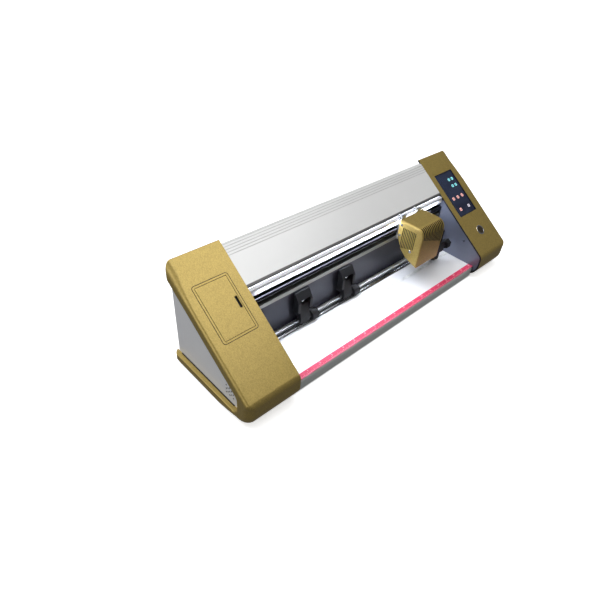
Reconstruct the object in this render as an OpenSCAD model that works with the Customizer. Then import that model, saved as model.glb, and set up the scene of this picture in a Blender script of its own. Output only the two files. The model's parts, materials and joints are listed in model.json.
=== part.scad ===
// Desktop vinyl cutter: two hollow end caps joined by a sloping top cover, a cross beam with
// a running carriage, pinch rollers over a grit shaft, and a platen with a ruler strip.
// X runs along the beam, Y from the nose to the back, Z up. The origin is on the table top,
// under the middle of the machine.

/* [Body] */
// Overall width across both end caps
body_w = 650; // [620:10:700]
// Overall depth from nose to back
body_d = 184; // [184:1:190]
// Width of each end cap
cap_w = 91.2; // [88:0.2:96]
// Slope of the top, in degrees
slope = 35.3; // [35:0.1:35.6]
// Height of the sloping face over the middle of the base
slope_mid = 115; // [115:0.5:118]
// Height of the rubber feet
foot_h = 2.5; // [2:0.5:4]
// Wall of the moulded caps
cap_wall = 3; // [2.5:0.5:3.5]
// Visible thickness of the cap's outer band
band_t = 15; // [12:1:16]
// Width of the cap's outer band, where the side panel is let in
band_w = 8.4; // [7:0.2:9]
// Height of the rail under the side panel
rail_h = 13; // [11:1:14]
// Radius of the cap's outer corners, seen from above
plan_r = 15; // [10:1:18]

/* [Platen and ruler] */
// Height of the platen over the base
platen_z = 20; // [20:0.5:21]
// Width of the ruler strip
ruler_w = 10; // [8:1:12]
// Thickness of the ruler strip
ruler_t = 0.4; // [0.3:0.1:0.6]

/* [Feed] */
// Radius of the grit shaft
shaft_r = 5; // [4.5:0.1:5]
// Distance of the grit shaft behind the middle
shaft_y = 8.5; // [8:0.1:8.5]
// Radius of a pinch wheel
wheel_r = 9; // [8.5:0.5:9]
// Width of a pinch wheel
wheel_w = 14; // [12:1:14]
// Right face of the left pinch bracket, which is where its wheel begins
pinch_x = -120; // [-130:1:-110]
// Distance between the two pinch rollers
pinch_pitch = 100; // [90:1:110]

/* [Carriage] */
// Left face of the carriage cover
carriage_x = 95; // [80:1:100]
// Width of the carriage cover
carriage_w = 67; // [60:1:67]
// Number of louvres across the front of the carriage
front_louvres = 13; // [8:1:14]
// Number of louvres along the side of the carriage
side_louvres = 9; // [6:1:10]
// Distance from the carriage cover to the blade
blade_reach = 23; // [23:0.5:24]
// Radius of the blade holder
holder_r = 8; // [7:0.5:8]

/* [Storage and screen] */
// Width of the storage box rim
box_w = 57.6; // [54:0.2:58]
// Length of the storage box rim
box_l = 88; // [80:1:90]
// Width of the screen
screen_w = 56.4; // [52:0.2:58]
// Length of the screen
screen_l = 95; // [90:1:96]

/* [Hidden] */
$fn = 48;

// Gap between parts that don't touch, and running clearance of a shaft in its bore
gap = 0.3;
run = 0.05;
eps = 0.5;

half_w = body_w / 2;
nose_y = -body_d / 2;
back_y = body_d / 2;
base_z = foot_h;
inner_x = half_w - cap_w;
panel_x = half_w - band_w;
nose_low_r = 28;
nose_top_r = 12;

// Height of the sloping face at a distance y behind the middle
function slope_z(y) = slope_mid + y * tan(slope);
// Points of an arc from angle a0 to angle a1
function arc(cy, cz, r, a0, a1, n = 8) =
    [for (i = [0:n]) [cy + r * cos(a0 + (a1 - a0) * i / n), cz + r * sin(a0 + (a1 - a0) * i / n)]];

// Frame plates carry the beam, the shaft and the platen
plate_t = 3;
plate_x = inner_x + cap_wall;
span_x = plate_x - 0.2;
rear_wall_y = back_y - 6;
sheet_t = 1.5;

// Top cover: front edge of its sloping face and lower edge of its back
cover_edge_y = 26;
cover_back_z = 60;
cover_t = 2.4;

// Front edge rail and platen
rail_front_y = nose_y + 12;
ruler_y = nose_y + 13;
top_z = base_z + platen_z;
platen_t = 2;
slot_front_y = shaft_y - 6;
slot_back_y = shaft_y + 7;
shaft_z = top_z + 0.6 - shaft_r;
cut_y = -19;

// Cross beam: a hollow lower box, a channel open to the front, and a top flange
beam_y = 18;
beam_back_y = 44;
beam_low_z = top_z + 6.5;
channel_low_z = 96;
channel_top_z = 117.5;
flange_top_z = 129;
flange_y = beam_y + 3;
beam_wall = 3;
rod_y = beam_y + 4.2;
rod_z = 106.5;
rod_r = 4;

// Belt loop in the channel
belt_y = 30;
belt_w = 6;
belt_z = 108.5;
belt_r = 6.4;
belt_t = 1.4;
pulley_x = plate_x + 25.2;
idler_x = -(plate_x + 11.2);
motor_size = 42;
motor_len = 36;

// Carriage
cover_front_y = -37.5;
cover_back_y = 13.3;
cover_low_z = 56.5;
cover_top_z = 132;
cover_r = 16;
cover_wall = 2;
chassis_y = cover_back_y + 0.2;
chassis_t = 4;
bushing_r = 6;
track_r = 3.5;
track_y = 20.5;
track_w = 4;
blade_x = carriage_x + carriage_w + blade_reach;
arm_x = carriage_x + carriage_w + 0.4;
arm_t = 5;
blade_tip_z = top_z + 3.6;
knob_y = cut_y - 7;
knob_z = 60;

// Pinch roller assemblies
wheel_z = shaft_z + shaft_r + gap + wheel_r;
bracket_w = 30;
pivot_y = beam_y - 4;
pivot_z = 60;
axle_r = 2;
arm_gap = 5.4;

// Feed drive, module 1 gears
gear_teeth = 24;
pinion_teeth = 16;
mesh_dist = (gear_teeth + pinion_teeth) / 2;
bearing_r = 8;
gear_x = plate_x + plate_t + 3;
gear_w = 6;
feed_motor_z = 27;
feed_motor_y = shaft_y - sqrt(pow(mesh_dist, 2) - pow(feed_motor_z - shaft_z, 2));
mesh_angle = atan2(feed_motor_y - shaft_y, shaft_z - feed_motor_z);

// Places on the sloping face, measured up the slope from above the ruler's front edge
slope_y0 = ruler_y;
box_x = -(half_w - 46.3);
box_s = 117;
box_depth = 22;
box_wall = 1.6;
rim = 3;
door_t = 2.4;
door_gap = 0.7;
hinge_r = 1.2;
door_w = box_w - 2 * rim - 2 * door_gap;
door_l = box_l - 2 * rim - 2 * door_gap;
box_flange = 4.2;
cavity_w = 45;
cavity_l = 72;
screen_x = half_w - 49.7;
screen_s = 118.5;
badge_x = half_w - 47.5;
badge_s = 32;
badge_r = 9.7;

// Inlet and switch module, USB port: face plate in the rear side panels
module_x0 = -299;
module_x1 = -261;
module_z0 = 21;
module_z1 = 39;
switch_y = back_y - 4.4;
rocker_r = 1.2;
usb_x0 = 262;
usb_x1 = 275;
usb_z0 = 24;
usb_z1 = 35;

// ---------- helpers ----------

// Extrude a side outline, drawn as (y, z), from x0 to x1
module along_x(x0, x1) {
    translate([x0, 0, 0]) rotate([90, 0, 90]) linear_extrude(x1 - x0) children();
}

// Box from its low corner to its high corner
module block(a, b) {
    translate(a) cube(b - a);
}

// Cylinder along X, Y or Z from a start point
module rod_x(p, r, l) {
    translate(p) rotate([0, 90, 0]) cylinder(r = r, h = l);
}
module rod_y_dir(p, r, l) {
    translate(p) rotate([-90, 0, 0]) cylinder(r = r, h = l);
}

// Local frame on the sloping face: x across, y up the slope, z outwards
module on_slope(x, s) {
    translate([x, slope_y0, slope_z(slope_y0)]) rotate([slope, 0, 0]) translate([0, s, 0]) children();
}

// Centred plate with rounded corners
module rounded_plate(w, l, t, r) {
    linear_extrude(t) rounded_rect(w, l, r);
}
module rounded_rect(w, l, r) {
    square([w - 2 * r, l], center = true);
    square([w, l - 2 * r], center = true);
    for (sx = [-1, 1], sy = [-1, 1])
        translate([sx * (w / 2 - r), sy * (l / 2 - r)]) circle(r);
}

// Spur gear with straight-flanked teeth, axis along Z
module spur(teeth, w) {
    pitch_r = teeth / 2;
    root_r = pitch_r - 1.15;
    tip_r = pitch_r + 0.75;
    linear_extrude(w) {
        circle(root_r, $fn = 64);
        for (i = [0:teeth - 1])
            rotate(i * 360 / teeth)
                polygon([[root_r - 0.4, -0.95], [pitch_r, -0.66], [tip_r, -0.4],
                         [tip_r, 0.4], [pitch_r, 0.66], [root_r - 0.4, 0.95]]);
    }
}

// Stepper motor, output face at the origin, shaft along +Z
module stepper(size, len, shaft_l) {
    color("dimgray") difference() {
        translate([0, 0, -len / 2]) linear_extrude(len, center = true) rounded_rect(size, size, 4);
        for (sx = [-1, 1], sy = [-1, 1])
            translate([sx * 15.5, sy * 15.5, -5]) cylinder(r = 1.5, h = 6);
    }
    color("silver") translate([0, 0, -1]) cylinder(r = 11, h = 2);
    color("silver") cylinder(r = 2.5, h = shaft_l);
}

// ---------- end caps ----------

function cap_side(t) = concat(
    [[back_y + (t > 0 ? eps : 0), base_z + t]],
    arc(nose_y + nose_low_r, base_z + nose_low_r, nose_low_r - t, 270, 180),
    arc(nose_y + nose_top_r, slope_z(nose_y) - nose_top_r * tan((90 - slope) / 2),
        nose_top_r - t, 180, 90 + slope),
    [[back_y + (t > 0 ? eps : 0), slope_z(back_y + (t > 0 ? eps : 0)) - t / cos(slope)]]
);

// Space inside the outer band, which the side panel fills
module band_window() {
    low_z = base_z + rail_h;
    front_y = nose_y + 26;
    corner_r = 13;
    top_line = -band_t / cos(slope);
    polygon(concat(
        [[back_y + eps, low_z]],
        arc(front_y + corner_r, low_z + corner_r, corner_r, 270, 180),
        arc(front_y + corner_r, slope_z(front_y) + top_line - corner_r * tan((90 - slope) / 2),
            corner_r, 180, 90 + slope),
        [[back_y + eps, slope_z(back_y + eps) + top_line]]
    ));
}

// Whole cap seen from above, with rounded outer corners
module cap_plan() {
    linear_extrude(260) {
        translate([inner_x - 1, nose_y]) square([cap_w - plan_r + 1, body_d]);
        translate([inner_x, nose_y + plan_r]) square([cap_w, body_d - 2 * plan_r]);
        for (y = [nose_y + plan_r, back_y - plan_r])
            translate([half_w - plan_r, y]) circle(plan_r);
    }
}

// Gold cap on the right side; the left one is its mirror image
module cap_shell() {
    intersection() {
        union() {
            // thin skin over the slope and the nose
            along_x(inner_x, half_w - 1) difference() {
                polygon(cap_side(0));
                polygon(cap_side(cap_wall));
                translate([nose_y + nose_low_r + 6, base_z - 1]) square([body_d, cap_wall + 2]);
            }
            // thick outer band
            along_x(panel_x, half_w) difference() {
                polygon(cap_side(0));
                band_window();
            }
        }
        cap_plan();
    }
}

module left_end_cap() {
    color("goldenrod") difference() {
        mirror([1, 0, 0]) cap_shell();
        on_slope(box_x, box_s) translate([0, 0, -20]) rounded_plate(box_w + 2 * gap, box_l + 2 * gap, 30, 4);
    }
}

module right_end_cap() {
    color("goldenrod") difference() {
        cap_shell();
        on_slope(screen_x, screen_s) translate([0, 0, -20]) rounded_plate(screen_w, screen_l, 30, 1.5);
        on_slope(badge_x, badge_s) translate([0, 0, -1]) cylinder(r = badge_r + 0.1, h = 5);
    }
}

// Grey panel let into the outer band, folded round the back
module side_panel() {
    low_z = base_z + rail_h;
    front_y = nose_y + 26;
    rear_y = back_y - 5;
    along_x(panel_x - 2, panel_x) difference() {
        polygon([[front_y - 8, low_z - 5], [rear_y, low_z - 5],
                 [rear_y, slope_z(rear_y) - band_t / cos(slope) + 8],
                 [front_y - 8, slope_z(front_y - 8) - band_t / cos(slope) + 8]]);
        // grid of small air holes
        for (i = [0:4], j = [0:4])
            translate([front_y + 17 + 4 * i, low_z + 12 + 3.6 * j]) square([1.4, 1.4]);
    }
    difference() {
        along_x(inner_x + cap_wall + plate_t, panel_x - 2) polygon([
            [rear_y - 2, base_z + 2], [rear_y, base_z + 2],
            [rear_y, slope_z(rear_y) - cap_wall / cos(slope) - 1],
            [rear_y - 2, slope_z(rear_y) - cap_wall / cos(slope) - 2.4]]);
        children();
    }
}

module left_side_panel() {
    color("gainsboro") mirror([1, 0, 0]) side_panel()
        block([-module_x1, back_y - 8, module_z0], [-module_x0, back_y - 4, module_z1]);
}

module right_side_panel() {
    color("gainsboro") side_panel()
        block([usb_x0, back_y - 8, usb_z0], [usb_x1, back_y - 4, usb_z1]);
}

// ---------- frame ----------

module base_tray() {
    color("dimgray") difference() {
        union() {
            block([-(panel_x - 3), -58, base_z], [panel_x - 3, back_y - 7.2, base_z + sheet_t]);
            block([-(inner_x - 1), rail_front_y + 9, base_z], [inner_x - 1, -58, base_z + sheet_t]);
        }
        for (sx = [-1, 1], y = [-46, back_y - 20])
            translate([sx * 290, y, base_z - 1]) cylinder(r = 2.2, h = 4);
    }
}

module rubber_feet() {
    color("black") for (sx = [-1, 1], y = [-46, back_y - 20])
        translate([sx * 290, y, 0]) {
            cylinder(r = 8, h = foot_h);
            cylinder(r = 2.1, h = foot_h + sheet_t + 1);
        }
}

// Frame plate beside each cap, on the +X side
module frame_plate(shaft_bore) {
    difference() {
        along_x(plate_x, plate_x + plate_t) difference() {
            polygon(cap_side(cap_wall + gap));
            translate([rear_wall_y - 3, 0]) square([20, 300]);
            translate([nose_y, 0]) square([body_d, base_z + sheet_t + 0.2]);
        }
        rod_x([plate_x - 1, shaft_y, shaft_z], shaft_bore, plate_t + 2);
        block([plate_x - 1, belt_y - 1.5, belt_z - 10.5],
              [plate_x + plate_t + 1, belt_y + 7.5, belt_z + 10.5]);
        rod_x([plate_x - 1, -46, 63.5], 2, plate_t + 2);
        rod_x([plate_x - 1, rod_y, rod_z], rod_r, plate_t + 2);
    }
}

module left_frame_plate() {
    color("lightsteelblue") mirror([1, 0, 0]) frame_plate(bearing_r);
}
module right_frame_plate() {
    color("lightsteelblue") frame_plate(bearing_r);
}

module shaft_bearings() {
    color("silver") for (sx = [-1, 1]) {
        x0 = sx > 0 ? plate_x : -plate_x - plate_t - 1;
        difference() {
            rod_x([x0, shaft_y, shaft_z], bearing_r, plate_t + 1);
            rod_x([x0 - 1, shaft_y, shaft_z], shaft_r + run, plate_t + 3);
        }
    }
}

// Screw heads that hold the beam and the platen to the frame plates
module plate_screws() {
    places = [[25, 70], [38, 45], [38, 86], [36, 126], [-30, 14], [60, 14]];
    color("silver") for (sx = [-1, 1], p = places)
        translate([sx * (plate_x + plate_t + 1), p[0], p[1]]) rotate([0, 90, 0])
            difference() {
                cylinder(r = 3, h = 2, center = true);
                translate([0, 0, sx * 1]) cylinder(r = 1.4, h = 1.6, center = true, $fn = 6);
            }
}

// Aluminium cover: the sloping face, a ribbed top edge and the back
module top_cover() {
    edge_r = 7;
    top_a = 90 + slope;
    cz = slope_z(back_y) - edge_r * (1 + sin(slope)) / cos(slope);
    color("whitesmoke") along_x(-inner_x, inner_x) difference() {
        polygon(concat(
            [[back_y, cover_back_z]],
            arc(back_y - edge_r, cz, edge_r, 0, top_a),
            [[cover_edge_y, slope_z(cover_edge_y)]],
            [[cover_edge_y + cover_t * sin(slope),
              slope_z(cover_edge_y) - cover_t * cos(slope)]],
            arc(back_y - edge_r, cz, edge_r - cover_t, top_a, 0),
            [[back_y - cover_t, cover_back_z]]
        ));
        for (i = [1:5]) {
            y = back_y - 5 - i * 3.6;
            translate([y, slope_z(y)]) circle(0.45, $fn = 16);
        }
    }
}

// Extruded beam: lower box, front channel and top flange
module cross_beam() {
    color("gray") difference() {
        beam_bar();
        // the flange stops short of the caps
        for (sx = [-1, 1])
            translate([sx * (inner_x + 4.7), beam_y + 20, flange_top_z]) cube([10, 60, 12], center = true);
    }
}

module beam_bar() {
    along_x(-span_x, span_x) difference() {
        translate([beam_y, beam_low_z]) square([beam_back_y - beam_y, flange_top_z - beam_low_z]);
        translate([beam_y + beam_wall, beam_low_z + beam_wall])
            square([beam_back_y - beam_y - 2 * beam_wall, channel_low_z - beam_low_z - 2 * beam_wall]);
        translate([beam_y - 1, channel_low_z])
            square([beam_back_y - beam_y - beam_wall + 1, channel_top_z - channel_low_z]);
        translate([beam_y - 1, channel_top_z - 1])
            square([flange_y - beam_y + 1, flange_top_z - channel_top_z + 2]);
        translate([flange_y + beam_wall, channel_top_z + beam_wall])
            square([beam_back_y - flange_y - 2 * beam_wall, flange_top_z - channel_top_z - 2 * beam_wall]);
    }
}

// Aluminium front edge with a rounded upper corner
module front_edge_rail() {
    corner = 5;
    color("silver") along_x(-inner_x + 0.1, inner_x - 0.1) difference() {
        union() {
            translate([rail_front_y, base_z]) square([9, platen_z - corner]);
            translate([rail_front_y + corner, base_z]) square([9 - corner, platen_z - platen_t]);
            translate([rail_front_y + corner, top_z - corner]) circle(corner);
        }
        translate([rail_front_y + 2, base_z + 2]) square([5, platen_z - platen_t - 4]);
        translate([rail_front_y + corner, top_z - platen_t]) square([10, 10]);
    }
}

module platen() {
    color("white") difference() {
        block([-span_x, rail_front_y + 5, top_z - platen_t], [span_x, slot_front_y, top_z]);
        block([-span_x - 1, cut_y - 3, top_z - 0.8], [span_x + 1, cut_y + 3, top_z + 1]);
    }
}

module rear_platen() {
    color("white") along_x(-span_x, span_x) polygon([
        [slot_back_y, top_z - 4], [slot_back_y, top_z], [back_y - 12, top_z], [back_y - 4, top_z - 6],
        [back_y - 4, top_z - 8.5], [back_y - 13, top_z - platen_t], [slot_back_y + 2, top_z - platen_t],
        [slot_back_y + 2, top_z - 4]]);
}

module cutting_strip() {
    color("lightgray") block([-span_x, cut_y - 3, top_z - 0.8], [span_x, cut_y + 3, top_z + 0.1]);
}

module ruler_strip() {
    color("crimson") block([-span_x, ruler_y, top_z], [span_x, ruler_y + ruler_w, top_z + ruler_t]);
}

// Row of lights under the lip of the cover
module led_bar() {
    color("white") block([-span_x + 4, 29, flange_top_z], [span_x - 4, 35, flange_top_z + 1.6]);
}

// ---------- feed ----------

module grit_shaft() {
    shaft_l = 2 * (plate_x + plate_t) + gear_w + 9;
    color("gainsboro") rod_x([-(plate_x + plate_t + 4), shaft_y, shaft_z], shaft_r, shaft_l);
}

module feed_gear() {
    color("white") translate([gear_x, shaft_y, shaft_z]) rotate([0, 90, 0])
        difference() {
            rotate(mesh_angle) spur(gear_teeth, gear_w);
            translate([0, 0, -1]) cylinder(r = shaft_r, h = gear_w + 2);
        }
}

module feed_pinion() {
    color("goldenrod") translate([gear_x, feed_motor_y, feed_motor_z]) rotate([0, 90, 0])
        difference() {
            rotate(mesh_angle + 180 + 180 / pinion_teeth) spur(pinion_teeth, gear_w);
            translate([0, 0, -1]) cylinder(r = 2.5 + run, h = gear_w + 2);
        }
}

module feed_motor() {
    translate([gear_x + gear_w + 4, feed_motor_y, feed_motor_z]) rotate([0, -90, 0])
        stepper(motor_size, motor_len, gear_w + 4);
}

// ---------- carriage drive ----------

module guide_rod() {
    color("silver") rod_x([-(plate_x + plate_t), rod_y, rod_z], rod_r, 2 * (plate_x + plate_t));
}

module belt_loop(r) {
    translate([idler_x, belt_z]) circle(r);
    translate([pulley_x, belt_z]) circle(r);
    translate([idler_x, belt_z - r]) square([pulley_x - idler_x, 2 * r]);
}

module drive_belt() {
    color("black") translate([0, belt_y + belt_w, 0]) rotate([90, 0, 0]) linear_extrude(belt_w)
        difference() {
            belt_loop(belt_r + gap / 2 + belt_t);
            belt_loop(belt_r + gap / 2);
        }
}

module flanged_pulley(bore) {
    difference() {
        union() {
            rotate([-90, 0, 0]) cylinder(r = belt_r, h = belt_w + 3);
            for (y = [0, belt_w + 2])
                translate([0, y, 0]) rotate([-90, 0, 0]) cylinder(r = belt_r + 1.8, h = 1);
        }
        translate([0, -1, 0]) rotate([-90, 0, 0]) cylinder(r = bore, h = belt_w + 6);
    }
}

module belt_pulley() {
    color("silver") translate([pulley_x, belt_y - 1.5, belt_z]) flanged_pulley(2.5 + run);
}

module idler_pulley() {
    color("silver") translate([idler_x, belt_y - 1.5, belt_z]) flanged_pulley(2 + run);
}

module idler_bracket() {
    x0 = idler_x - 7;
    x1 = -(plate_x + plate_t);
    y0 = belt_y - 5.5;
    y1 = belt_y + belt_w + 5.5;
    color("dimgray") {
        block([x0, y0, belt_z - 12], [x1, y0 + 3, belt_z + 5]);
        block([x0, y1 - 3, belt_z - 12], [x1, y1, belt_z + 5]);
        block([x0, y0, belt_z - 15], [x1, y1, belt_z - 12]);
        rod_y_dir([idler_x, belt_y - 5, belt_z], 2, belt_w + 10);
    }
}

module carriage_motor() {
    translate([pulley_x, beam_back_y, belt_z]) rotate([90, 0, 0])
        stepper(motor_size, motor_len, beam_back_y - belt_y + 1);
}

module motor_bracket() {
    color("dimgray") difference() {
        block([plate_x + plate_t, beam_back_y - 3, belt_z - 21], [pulley_x + 20, beam_back_y, belt_z + 14]);
        rod_y_dir([pulley_x, beam_back_y - 5, belt_z], 11.2, 10);
    }
}

// ---------- carriage ----------

module bushing_seats() {
    for (x = [carriage_x + 8, carriage_x + carriage_w - 18])
        rod_x([x, rod_y, rod_z], bushing_r, 14);
}

module carriage_bushings() {
    color("darkkhaki") difference() {
        bushing_seats();
        rod_x([carriage_x, rod_y, rod_z], rod_r + run, carriage_w + 10);
    }
}

module carriage_chassis() {
    x0 = carriage_x + 2;
    x1 = arm_x;
    color("silver") difference() {
        union() {
            // plate between the cover and the beam
            block([x0, chassis_y, 92], [x1 + arm_t, chassis_y + chassis_t, 126]);
            // block round the guide rod
            block([x0 + 4, chassis_y + 2, rod_z - 8], [x1 - 6, rod_y + 6.6, rod_z + 8]);
            // ears that carry the track wheels over the flange
            for (x = [x0 + 8, x1 - 14])
                block([x - 6, chassis_y, 120], [x + 6, chassis_y + chassis_t, flange_top_z + 8]);
            // arm that carries the tool slide, kept in front of the pinch brackets below
            block([x1, cut_y - 12, 64], [x1 + arm_t, cut_y + 19, 106]);
            block([x1, cut_y, 90], [x1 + arm_t, chassis_y + 1, 106]);
            // belt grip
            block([x0 + 26, rod_y + 4, belt_z - belt_r - 5.2],
                  [x0 + 38, belt_y + belt_w, belt_z - belt_r - 1.8]);
        }
        bushing_seats();
        rod_x([x0 - 5, rod_y, rod_z], rod_r + 0.6, carriage_w + 20);
    }
    color("silver") for (x = [x0 + 8, x1 - 14])
        rod_y_dir([x, chassis_y + 1, flange_top_z + track_r + run], 1.5, track_y + track_w - chassis_y - 0.7);
}

module track_wheel(x) {
    color("silver") difference() {
        rod_y_dir([x, track_y, flange_top_z + track_r + run], track_r, track_w);
        rod_y_dir([x, track_y - 1, flange_top_z + track_r + run], 1.5 + run, 8);
    }
}
module left_track_wheel() {
    track_wheel(carriage_x + 10);
}
module right_track_wheel() {
    track_wheel(arm_x - 14);
}

function cover_side(t) = concat(
    [[cover_back_y + (t > 0 ? 2 : 0), cover_top_z - t]],
    arc(cover_front_y + cover_r, cover_top_z - cover_r, cover_r - t, 90, 180),
    [[cover_front_y + t, cover_low_z + t * 1.7], [-12, 65.6 + t * 1.7], [2.5, 78.5 + t * 1.7],
     [cover_back_y + (t > 0 ? 2 : 0), 100 + t * 2.5]]
);

module carriage_cover() {
    x0 = carriage_x;
    x1 = carriage_x + carriage_w;
    front_pitch = (carriage_w - 8) / front_louvres;
    side_pitch = 29.5 / side_louvres;
    color("goldenrod") difference() {
        along_x(x0, x1) polygon(cover_side(0));
        along_x(x0 + cover_wall, x1 - cover_wall) polygon(cover_side(cover_wall));
        // louvres over the front and its rounded top edge, longer towards the right
        for (i = [0:front_louvres - 1]) {
            x = x0 + 4 + front_pitch * (i + 0.25);
            block([x, cover_front_y - 1, 112 - 1.7 * i], [x + front_pitch / 2, cover_front_y + 7.5, 128]);
        }
        // louvres down the left side
        for (i = [0:side_louvres - 1]) {
            y = -23.5 + side_pitch * i;
            block([x0 - 1, y, 87 - 0.5 * i], [x0 + cover_wall + 1, y + side_pitch * 0.5, 121]);
        }
    }
}

module cover_screws() {
    color("silver") for (z = [104, 124]) rod_x([carriage_x - 1, 9, z], 2.5, 1);
}

module lift_solenoid() {
    color("darkslategray") {
        block([arm_x - 26, -14, 104], [arm_x - 4, chassis_y, 122]);
        rod_y_dir([arm_x - 15, -22, 113], 5, 8.5);
    }
}

// Slide that carries the blade holder up and down beside the cover
module tool_slide() {
    x0 = arm_x + arm_t + gap;
    color("black") difference() {
        union() {
            block([x0, cut_y - 12, 50], [x0 + 5, cut_y + 12, 100]);
            block([x0 + 4, cut_y - 11, 50], [blade_x + holder_r + 3.5, cut_y + 11, 72]);
        }
        translate([blade_x, cut_y, 40]) cylinder(r = holder_r, h = 70);
    }
}

module blade_holder() {
    color("black") translate([blade_x, cut_y, 0]) difference() {
        union() {
            translate([0, 0, 38]) cylinder(r = holder_r, h = 56);
            translate([0, 0, 34]) cylinder(r = holder_r + 1.5, h = 12);
            translate([0, 0, 94]) cylinder(r = holder_r - 3, h = 5);
            translate([0, 0, blade_tip_z + 1.2])
                cylinder(r1 = 3.2, r2 = holder_r, h = 34.01 - blade_tip_z - 1.2);
        }
        translate([0, 0, blade_tip_z]) cylinder(r = 1 + run, h = 40);
    }
}

module blade() {
    color("silver") translate([blade_x, cut_y, blade_tip_z]) {
        cylinder(r1 = 0.15, r2 = 1, h = 1.6);
        translate([0, 0, 1.6]) cylinder(r = 1, h = 30);
    }
}

module clamp_knob() {
    x0 = blade_x + holder_r + 3.5 + gap;
    color("black") {
        rod_x([x0, knob_y, knob_z], 4, 4);
        translate([x0 + 4, knob_y, knob_z]) rotate([0, 90, 0]) linear_extrude(11) {
            circle(8);
            for (a = [0:60:300]) rotate(a) translate([7, 0]) circle(2.2);
        }
    }
}

// ---------- pinch rollers ----------

// Bracket clamped to the beam; x is its right face
module pinch_bracket(x) {
    x0 = x - bracket_w;
    color("black") difference() {
        along_x(x0, x) polygon([[beam_y - gap, 46], [beam_y - gap, 86], [beam_y - 3, 86],
                                 [5, 71], [5, 52], [10, 46]]);
        // slot for the arm
        along_x(x0 + 5, x - 5) polygon([[beam_y - 1.2, 40], [beam_y - 1.2, 74], [2, 74], [2, 40]]);
        rod_x([x0 + 2, pivot_y, pivot_z], axle_r + run, bracket_w - 4);
    }
}

// Arm with a cross pin, carrying the axle of the wheel
module pinch_arm(x) {
    x0 = x - bracket_w + arm_gap;
    x1 = x - arm_gap;
    color("black") difference() {
        union() {
            along_x(x0, x1) polygon([[pivot_y - 4, pivot_z + 3], [pivot_y + 2, pivot_z + 3],
                                     [pivot_y + 2.5, pivot_z - 4], [shaft_y + 5, wheel_z + 2],
                                     [shaft_y + 5, wheel_z - 4], [shaft_y - 5, wheel_z - 4],
                                     [shaft_y - 6, wheel_z + 6]]);
            rod_x([x0 - 3, pivot_y, pivot_z], axle_r, x1 - x0 + 6);
        }
        rod_x([x0 - 1, shaft_y, wheel_z], axle_r, bracket_w);
    }
}

module pinch_axle(x) {
    x0 = x - bracket_w + arm_gap;
    color("silver") rod_x([x0 - 1.5, shaft_y, wheel_z], axle_r, x + wheel_w + 3 - x0);
}

module pinch_wheel(x) {
    color("dimgray") difference() {
        union() {
            rod_x([x + gap, shaft_y, wheel_z], wheel_r, wheel_w - gap);
            rod_x([x - 4.9, shaft_y, wheel_z], 4, 6);
        }
        rod_x([x - 6, shaft_y, wheel_z], axle_r + run, wheel_w + 10);
    }
}

module pinch_spring(x) {
    color("silver") difference() {
        rod_y_dir([x - bracket_w / 2, beam_y - 6.2, pivot_z + 9.5], 3, 5);
        rod_y_dir([x - bracket_w / 2, beam_y - 8, pivot_z + 9.5], 1.8, 10);
    }
}

module left_pinch_bracket() { pinch_bracket(pinch_x); }
module left_pinch_arm() { pinch_arm(pinch_x); }
module left_pinch_axle() { pinch_axle(pinch_x); }
module left_pinch_wheel() { pinch_wheel(pinch_x); }
module left_pinch_spring() { pinch_spring(pinch_x); }
module right_pinch_bracket() { pinch_bracket(pinch_x + pinch_pitch); }
module right_pinch_arm() { pinch_arm(pinch_x + pinch_pitch); }
module right_pinch_axle() { pinch_axle(pinch_x + pinch_pitch); }
module right_pinch_wheel() { pinch_wheel(pinch_x + pinch_pitch); }
module right_pinch_spring() { pinch_spring(pinch_x + pinch_pitch); }

// ---------- storage, screen and badge ----------

module storage_box() {
    shift = -2.5;
    color("goldenrod") on_slope(box_x, box_s) difference() {
        union() {
            translate([0, 0, -box_flange]) rounded_plate(box_w, box_l, box_flange, 4);
            translate([shift, 0, -box_depth - box_wall])
                rounded_plate(cavity_w + 2 * box_wall, cavity_l + 2 * box_wall, box_depth, 3);
        }
        translate([0, 0, -door_t - 0.8])
            rounded_plate(door_w + 2 * door_gap, door_l + 2 * door_gap, 10, 1.2);
        translate([shift, 0, -box_depth]) rounded_plate(cavity_w, cavity_l, 40, 2);
        // sockets for the hinge pins
        translate([-door_w / 2 + 1.2, 0, -1.2]) rotate([90, 0, 0])
            cylinder(r = hinge_r + run, h = door_l + 4, center = true);
    }
}

module storage_door() {
    color("goldenrod") on_slope(box_x, box_s) {
        difference() {
            translate([0, 0, -door_t]) rounded_plate(door_w, door_l, door_t, 1.5);
            // finger notch beside the free edge
            translate([door_w / 2 - 3.4, -0.5, -5]) rounded_plate(4.4, 18, 10, 0.8);
            // clearance round the hinge corner
            translate([-door_w / 2 - 5, -door_l, -5 - 1.3]) cube([5.9, 2 * door_l, 5]);
        }
        translate([-door_w / 2 + 1.2, 0, -1.2]) rotate([90, 0, 0])
            cylinder(r = hinge_r, h = door_l + 3, center = true);
    }
}

module touch_screen() {
    color("midnightblue") on_slope(screen_x, screen_s) translate([0, 0, -4])
        rounded_plate(screen_w - 0.3, screen_l - 0.3, 2.6, 1.2);
}

module display_module() {
    color("darkgreen") on_slope(screen_x, screen_s) translate([0, 0, -8.6]) {
        rounded_plate(screen_w + 5, screen_l + 5, 1.6, 2);
        translate([0, 0, 1.6]) rounded_plate(screen_w - 4, screen_l - 6, 3, 1);
    }
}

module badge() {
    color("silver") on_slope(badge_x, badge_s) translate([0, 0, -1]) difference() {
        cylinder(r = badge_r, h = 1.8);
        translate([0, 0, 1.2]) cylinder(r = badge_r - 2.1, h = 2);
    }
}

// ---------- electronics ----------

module controller_board() {
    x = half_w - 22;
    color("green") block([x, -30, 12], [x + 1.6, 70, 72]);
    color("black") for (y = [-10, 8, 26]) block([x - 6, y, 50], [x, y + 12, 64]);
    color("dimgray") block([x - 12, 48, 20], [x, 66, 32]);
}

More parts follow.
